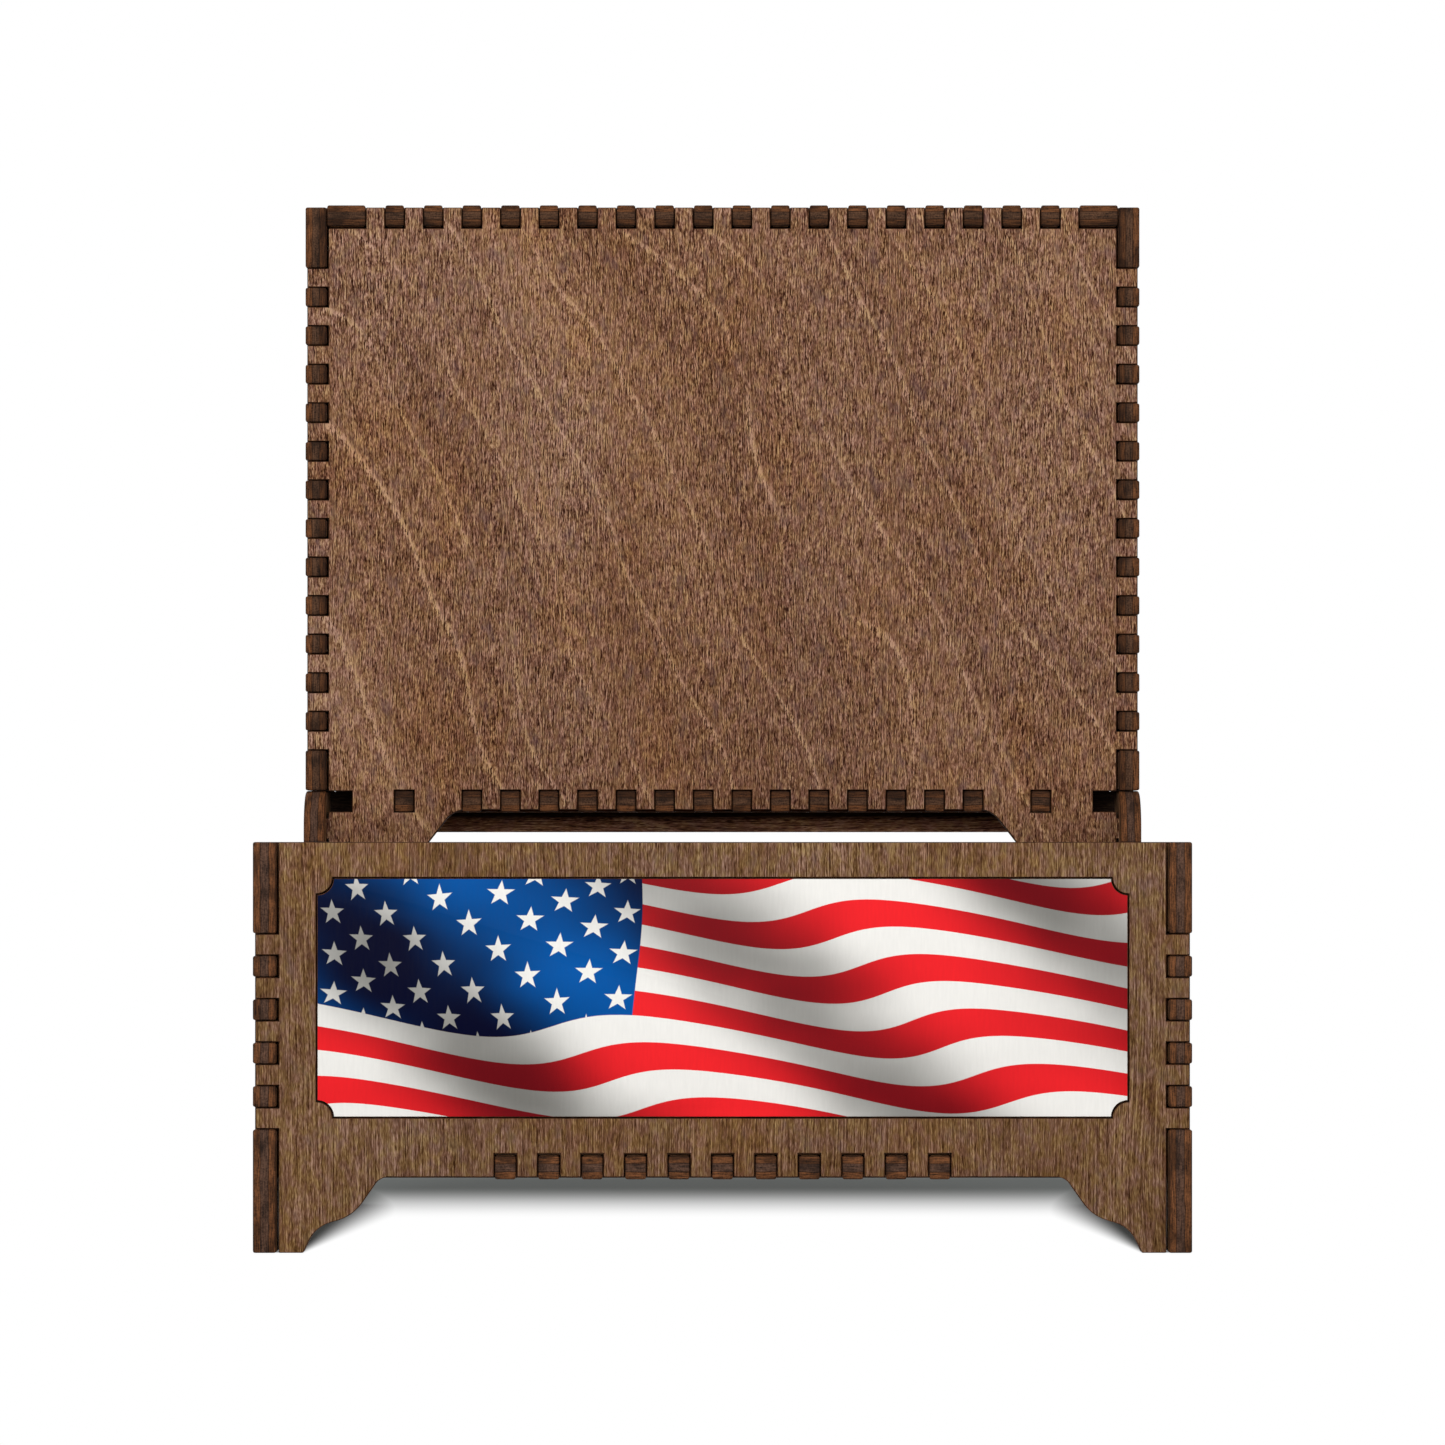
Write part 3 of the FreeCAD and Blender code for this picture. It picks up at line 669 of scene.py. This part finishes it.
flagBoard = dict(
    caseBoard,
    name="flag_board",
    node="flag_plaque",
    slot="printed_board",
    outward=(0, -1, 0),
    across=(1, 0, 0),
    shift=(0.0, 0.0),
    outer=flagPrint,
    arris=0.08,
)
backingBoard = dict(
    caseBoard,
    name="backing_board",
    node="plaque_backer",
    slot="backing_board",
    outward=(0, -1, 0),
    across=(1, 0, 0),
    shift=(1550.0, 260.0),
    cut=cutBacking,
    arris=0.08,
)
caseBoards = (
    frontBoard,
    backBoard,
    leftSideBoard,
    rightSideBoard,
    floorBoard,
    flagBoard,
    backingBoard,
)
for board in caseBoards:
    dressBoard(board)
print("case: %d boards" % len(caseBoards))

# the lid

lidBoard = dict(
    caseBoard,
    body="lid",
    slot="lid_board",
    outer=lidTopVeneer,
    inner=lidTopVeneer,
    cut=lidCutPlies,
)
lidInnerBoard = dict(
    lidBoard,
    name="lid_inner_board",
    node="lid_inner_panel",
    outward=(0, -1, 0),
    across=(1, 0, 0),
    shift=lidInnerShift,
    outer=lidVeneer,
    arris=0.10,
)
lidOuterBoard = dict(
    lidBoard,
    name="lid_outer_board",
    node="lid_outer_panel",
    outward=(0, 1, 0),
    across=(0, 0, 1),
    along=(1, 0, 0),
    shift=lidOuterShift,
    inner=lidInsideVeneer,
    arris=0.10,
)
lidFrontWall = dict(
    lidBoard,
    name="lid_front_board",
    node="lid_front_wall",
    outward=(0, 0, 1),
    across=(0, 1, 0),
    along=(1, 0, 0),
    shift=(620.0, 610.0),
)
lidBackWall = dict(
    lidBoard,
    name="lid_back_board",
    node="lid_back_wall",
    outward=(0, 0, -1),
    across=(0, 1, 0),
    along=(1, 0, 0),
    shift=(930.0, 660.0),
)
lidLeftWall = dict(
    lidBoard,
    name="lid_left_board",
    node="lid_left_wall",
    outward=(-1, 0, 0),
    across=(0, -1, 0),
    shift=(1240.0, 720.0),
)
lidRightWall = dict(
    lidBoard,
    name="lid_right_board",
    node="lid_right_wall",
    outward=(1, 0, 0),
    across=(0, 1, 0),
    shift=(1550.0, 770.0),
)
lidBoards = (
    lidInnerBoard,
    lidOuterBoard,
    lidFrontWall,
    lidBackWall,
    lidLeftWall,
    lidRightWall,
)
for board in lidBoards:
    dressBoard(board)
print("lid: %d boards" % len(lidBoards))


# white ground, white all round for the camera; its shadow is partly real and partly painted, grey by
# position under and behind the case

stageLook = {
    "size": 6.0,
    "front": (0.081, 0.010),
    "legs": 0.0545,
    "toes": -0.053,
    "paintedHalo": (0.0012, 0.115),
    "sides": (0.0555, 0.0605),
    "rear": (0.095, 0.190),
    "tint": (0.94, 1.0, 0.98),
    "ground": 0.50,
    "shown": 0.26,
    "speck": 0.02,
    "speckScale": 900.0,
}


def seenShare(paint):  # 1 where the camera looks, straight or by gloss or glass
    path = paint.node("ShaderNodeLightPath").socket.node
    names = ("Is Camera Ray", "Is Glossy Ray", "Is Transmission Ray")
    ways = [Term(paint, path.outputs[name]) for name in names]
    return ways[0].sum("MAXIMUM", ways[1]).sum("MAXIMUM", ways[2])


def groundPaint(look):
    paint = Paint("ground")
    spot = paint.node("ShaderNodeTexCoord", {}, {}, "Object")
    x, y, z = [paint.node("ShaderNodeSeparateXYZ", {}, {0: spot}, axis) for axis in range(3)]
    speck = paint.noise(x * look["speckScale"], y * look["speckScale"], z)
    seen = seenShare(paint)
    level = look["ground"] + seen * (look["shown"] - look["ground"]) + speck * look["speck"]
    plain = paint.shade(look["tint"], level)
    lit = paint.node("ShaderNodeBsdfDiffuse", {}, {"Color": plain})
    white = paint.node("ShaderNodeEmission", {}, {"Color": (1.0, 1.0, 1.0, 1.0), "Strength": 1.0})
    # painted shadow: the ground shows grey only under the case's rear half, along its legs and behind
    # it, lit and shaded there at a darker colour for the camera than for light; elsewhere it is white
    reach, spread = look["paintedHalo"]
    paintedHalo = (y - look["toes"]).sum("MAXIMUM", 0.0) * spread + reach
    legs = ((look["legs"] - abs(x)) / paintedHalo).between(0.0, 1.0)
    legs = legs.sum("MAXIMUM", y.between(look["toes"] + reach, look["toes"]))
    front = y.between(*look["front"]).sum("MINIMUM", legs)
    away = abs(x).between(*look["sides"]).sum("MAXIMUM", y.between(*look["rear"]))
    bare = front.sum("MAXIMUM", away) * seen
    surface = paint.node("ShaderNodeMixShader", {}, {0: bare, 1: lit, 2: white})
    paint.node("ShaderNodeOutputMaterial", {}, {"Surface": surface})
    return paint.material


def makeStage(look):
    half = look["size"] / 2
    corners = [(-half, -half, 0), (half, -half, 0), (half, half, 0), (-half, half, 0)]
    mesh = bpy.data.meshes.new("ground")
    mesh.from_pydata(corners, [], [(0, 1, 2, 3)])
    mesh.materials.append(groundPaint(look))
    ground = bpy.data.objects.new("ground", mesh)
    scene.collection.objects.link(ground)


makeStage(stageLook)
print("stage: white ground")

# soft studio light

lightLook = {
    "sky": 0.32,
    "key": {"place": (-0.30, -1.20, 0.42), "size": 0.7, "watts": 8.5},
    "fill": {"place": (0.70, -0.95, 0.35), "size": 0.8, "watts": 3.7},
    "back": {"place": (-0.35, 1.00, 0.95), "size": 0.8, "watts": 5.0},
}


def makeWorld(level):
    world = bpy.data.worlds.new("studio")
    world.use_nodes = True
    scene.world = world
    sky = Tree(world.node_tree)
    world.node_tree.nodes.clear()
    seen = seenShare(sky)
    surface = sky.node(
        "ShaderNodeBackground",
        {},
        {"Color": (1.0, 1.0, 1.0, 1.0), "Strength": level + seen * (1.0 - level)},
    )
    sky.node("ShaderNodeOutputWorld", {}, {"Surface": surface})


def makeLamp(name, look, aim):
    lamp = bpy.data.lights.new(name, "AREA")
    lamp.shape = "DISK"
    lamp.size = look["size"]
    lamp.energy = look["watts"]
    holder = bpy.data.objects.new(name, lamp)
    holder.location = look["place"]
    holder.rotation_mode = "QUATERNION"
    holder.rotation_quaternion = (aim - Vector(look["place"])).to_track_quat("-Z", "Y")
    scene.collection.objects.link(holder)


middle = (cadLow + cadHigh) / 2
makeWorld(lightLook["sky"])
for name in ("key", "fill", "back"):
    makeLamp(name, lightLook[name], middle)
print("light: sky and three lamps")

# the camera stands level with the rim, its frame shifted up

cameraLook = {
    "lens": 135.97,
    "sensor": 36.0,
    "away": 0.6973,
    "shiftUp": 0.0827,
    "clip": (0.01, 50.0),
}
view = bpy.data.cameras.new("photoView")
view.lens = cameraLook["lens"]
view.sensor_width = cameraLook["sensor"]
view.shift_y = cameraLook["shiftUp"]
view.clip_start, view.clip_end = cameraLook["clip"]
viewer = bpy.data.objects.new("photoView", view)
viewer.location = (0.0, frontLow.y - cameraLook["away"], frontHigh.z)
viewer.rotation_euler = (math.radians(90), 0.0, 0.0)
scene.collection.objects.link(viewer)
scene.camera = viewer
scene.view_settings.view_transform = "Standard"
print("camera: %.0f mm lens" % cameraLook["lens"])

print("scene built")
